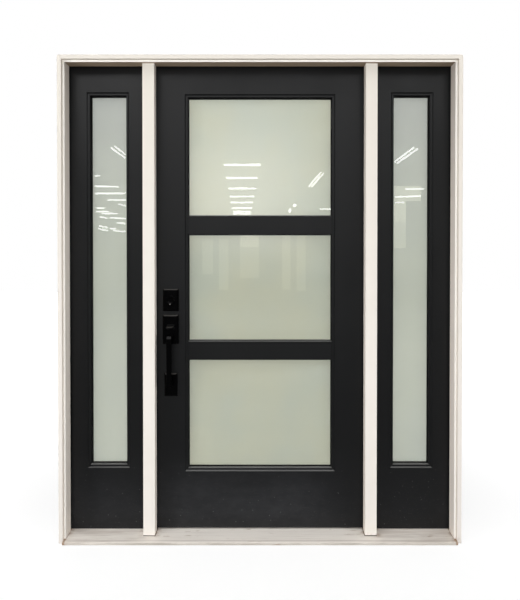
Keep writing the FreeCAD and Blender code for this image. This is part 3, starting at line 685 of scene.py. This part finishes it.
world = bpy.data.worlds.new("studio")
scene.world = world
world.use_nodes = True
sky = Nodes(world.node_tree)
rays = sky.add("LightPath").outputs
toward = sky.add("TexCoord").outputs["Generated"]
direction = sky.add("SeparateXYZ", Vector=toward).outputs
room = sky.span(direction["Y"], *ROOM_TURN, ROOM_FRONT, WHITE)
ceiling = sky.span(direction["Z"], *ROOM_RISE, 0.0, ROOM_CEILING)
aside = sky.math("ABSOLUTE", direction["X"])
ceiling = sky.times(ceiling, sky.span(aside, *ROOM_ASIDE))
room = sky.math("MAXIMUM", room, ceiling)
bay = sky.vector("DIVIDE", sky.vector("SUBTRACT", toward, BAY_PLACE), BAY_REACH)
bay = sky.span(sky.length(bay), 0.0, 1.0, BAY_LEVEL, 0.0)
room = sky.math("ADD", room, sky.times(bay, sky.span(direction["Z"], *BAY_FOOT)))
ambient = sky.span(direction["Y"], *AMBIENT_TURN, AMBIENT, AMBIENT_BACK)
mirrored = sky.math("MAXIMUM", rays["Is Glossy Ray"], rays["Is Transmission Ray"])
level = sky.span(mirrored, 0.0, 1.0, ambient, room)
level = sky.span(rays["Is Camera Ray"], 0.0, 1.0, level, WHITE)
background = sky.tree.nodes["Background"]
sky.feed(background.inputs["Color"], (1, 1, 1))
sky.feed(background.inputs["Strength"], level)


# Floor: white, and it keeps the object's shadow. Each pair of levels runs outwards over its reach

FLOOR_HALF = 12.0
FLOOR_DROP = 0.5 * MM
FLOOR_GREY = (0.35, 0.35, 0.35)
FLOOR_GLOW = (0.74, 1.0)
FLOOR_GLOW_REACH = (0.9, 2.6)
FLOOR_GLOSS = (0.24, 0.14)
FLOOR_GLOSS_REACH = (1.5, 7.0)
FLOOR_THROUGH = (0.9, 0.14)
FLOOR_THROUGH_REACH = (3.0, 11.0)
floor_mesh = bpy.data.meshes.new("floor")
corners = [(-1, -1), (1, -1), (1, 1), (-1, 1)]
floor_points = [(x * FLOOR_HALF, y * FLOOR_HALF, -FLOOR_DROP) for x, y in corners]
floor_mesh.from_pydata(floor_points, [], [(0, 1, 2, 3)])
floor = bpy.data.objects.new("floor", floor_mesh)
scene.collection.objects.link(floor)
floor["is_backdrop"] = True
floor_paint = Paint("floor_white", Roughness=1.0, Specular_IOR_Level=0.0, Emission_Color=(1, 1, 1))
floor_rays = floor_paint.add("LightPath").outputs
floor_paint.set("Base Color", floor_paint.mix(floor_rays["Is Glossy Ray"], FLOOR_GREY, (0, 0, 0)))
radius = floor_paint.length(floor_paint.place)
glow = floor_paint.span(radius, *FLOOR_GLOW_REACH, *FLOOR_GLOW)
glow = floor_paint.times(glow, floor_rays["Is Camera Ray"])
gloss = floor_paint.span(radius, *FLOOR_GLOSS_REACH, *FLOOR_GLOSS)
through = floor_paint.span(radius, *FLOOR_THROUGH_REACH, *FLOOR_THROUGH)
for ray, strength in (("Is Glossy Ray", gloss), ("Is Transmission Ray", through)):
    glow = floor_paint.math("MAXIMUM", glow, floor_paint.times(floor_rays[ray], strength))
floor_paint.set("Emission Strength", glow)
floor_mesh.materials.append(floor_paint.material)


# Lamps: a broad ceiling panel, a low panel in front and one at each side for even fronts, and three bars that
# the satin paint shows as a soft sheen near the top

AIM_HEIGHT = 0.7
SIDE_AWAY = -2.5
SIDE_LAMPS = {"left": (-4.6, 146), "right": (4.6, 92)}
SHEEN_AWAY = -3.0
SHEEN_HEIGHT = 3.65
SHEEN_BARS = {"left": (-2.3, 1.8, 42), "middle": (0, 2.2, 3), "right": (1.6, 1.8, 20)}


def soft_box(name, place, target, wide, high, power, in_gloss=True, in_diffuse=True):
    lamp = bpy.data.lights.new(name, "AREA")
    lamp.shape = "RECTANGLE"
    lamp.size = wide
    lamp.size_y = high
    lamp.energy = power
    holder = bpy.data.objects.new(name, lamp)
    scene.collection.objects.link(holder)
    holder.location = place
    holder.rotation_euler = (Vector(target) - Vector(place)).to_track_quat("-Z", "Y").to_euler()
    holder.visible_diffuse = in_diffuse
    holder.visible_glossy = in_gloss
    holder.visible_transmission = in_gloss
    return holder


soft_box("ceiling_lamp", (0, -2.0, 6.5), (0, -1.2, 0), 6.0, 3.0, 184)
for name, (across, wide, power) in SHEEN_BARS.items():
    place = (across, SHEEN_AWAY, SHEEN_HEIGHT)
    soft_box(name + "_sheen_lamp", place, (across, 0, AIM_HEIGHT), wide, 1.0, power, in_diffuse=False)
soft_box("front_lamp", (0, -7.0, 0.4), (0, 0, AIM_HEIGHT), 6.0, 1.1, 226, in_gloss=False)
for name, (across, power) in SIDE_LAMPS.items():
    place = (across, SIDE_AWAY, AIM_HEIGHT)
    soft_box(name + "_lamp", place, (0, 0, AIM_HEIGHT), 1.8, 1.9, power, in_gloss=False)

# Thin strip lamps far behind the camera, which the clear panes mirror as bright lines. A row gives the place
# across, the height, the length and the tilt in degrees; the ladder's rungs give height and length
STRIP_AWAY = -8.0
STRIP_THIN = 0.024
STRIP_SHARE = 0.055
STRIP_RADIANCE = 9.0
LADDER_ACROSS = -0.36
LADDER = [(2.88, 0.72), (2.62, 0.62), (2.41, 0.54), (2.25, 0.48), (2.13, 0.44), (2.02, 0.40)]
LADDER += [(1.945, 0.36), (1.905, 0.34)]
STRIPS = [(LADDER_ACROSS, height, length, 0) for height, length in LADDER]
STRIPS += [(-3.24, 2.66, 0.10, -5), (-3.05, 2.45, 0.48, -2), (-2.98, 2.31, 0.60, 0), (-2.86, 2.18, 0.37, 0)]
STRIPS += [(-2.75, 2.08, 0.15, -15), (-3.19, 2.02, 0.17, 0), (-3.14, 1.95, 0.26, 0), (-3.00, 1.91, 0.33, 0)]
STRIPS += [(-3.12, 1.83, 0.15, -11), (-2.84, 1.82, 0.31, -3), (-2.77, 1.72, 0.18, -6)]
STRIPS += [(-3.13, 1.65, 0.17, -10), (-3.13, 1.59, 0.21, -11)]
STRIPS += [(-2.93, 1.61, 0.14, 0), (-2.81, 1.56, 0.25, -6)]
STRIPS += [(3.08, 2.40, 0.37, 0), (2.95, 2.25, 0.52, 2), (2.78, 2.13, 0.18, 0)]
STRIPS += [(1.09, 2.585, 0.38, 50), (1.15, 2.58, 0.37, 49), (1.30, 2.00, 0.22, 0)]
STRIPS += [(-2.83, 3.12, 0.35, -35), (-2.79, 3.17, 0.27, -38)]
STRIPS += [(2.875, 3.085, 0.49, 37), (2.935, 3.055, 0.51, 35)]
STUBS = [(0.60, 1.97, 0.07, 50), (0.69, 2.075, 0.07, 50)]
STUB_THICK = 0.05
for number, (across, height, length, tilt) in enumerate(STRIPS + STUBS):
    thick = STUB_THICK if number >= len(STRIPS) else max(STRIP_THIN, STRIP_SHARE * length)
    power = STRIP_RADIANCE * math.pi * length * thick
    place = (across, STRIP_AWAY, height)
    strip = soft_box(f"strip_{number}", place, (across, 0, height), length, thick, power)
    strip.rotation_euler.rotate_axis("Z", math.radians(tilt))

# Dim panels beside them, as left, right, foot, top and radiance
PANEL_TINT = (1.0, 0.97, 0.76)
PANELS = [(-1.15, -0.94, 0.70, 1.38, 0.55), (-0.82, -0.63, 0.39, 1.40, 0.55)]
PANELS += [(-0.40, -0.02, 0.62, 1.24, 0.45), (-0.40, -0.02, 1.24, 1.55, 1.10)]
PANELS += [(0.44, 0.61, 0.39, 1.55, 0.55), (0.73, 0.91, 0.37, 1.48, 0.55)]
PANELS += [(2.675, 3.21, 2.16, 2.46, 1.9), (2.675, 2.91, 1.74, 2.16, 1.9), (2.675, 2.91, 1.22, 1.74, 1.2)]
for number, (left, right, foot, top, radiance) in enumerate(PANELS):
    across, height = (left + right) / 2, (foot + top) / 2
    wide, high = right - left, top - foot
    power = radiance * math.pi * wide * high
    place = (across, STRIP_AWAY, height)
    panel = soft_box(f"panel_{number}", place, (across, 0, height), wide, high, power)
    panel.data.color = PANEL_TINT


# Size of the dressed part beside the frame's own

low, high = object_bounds()
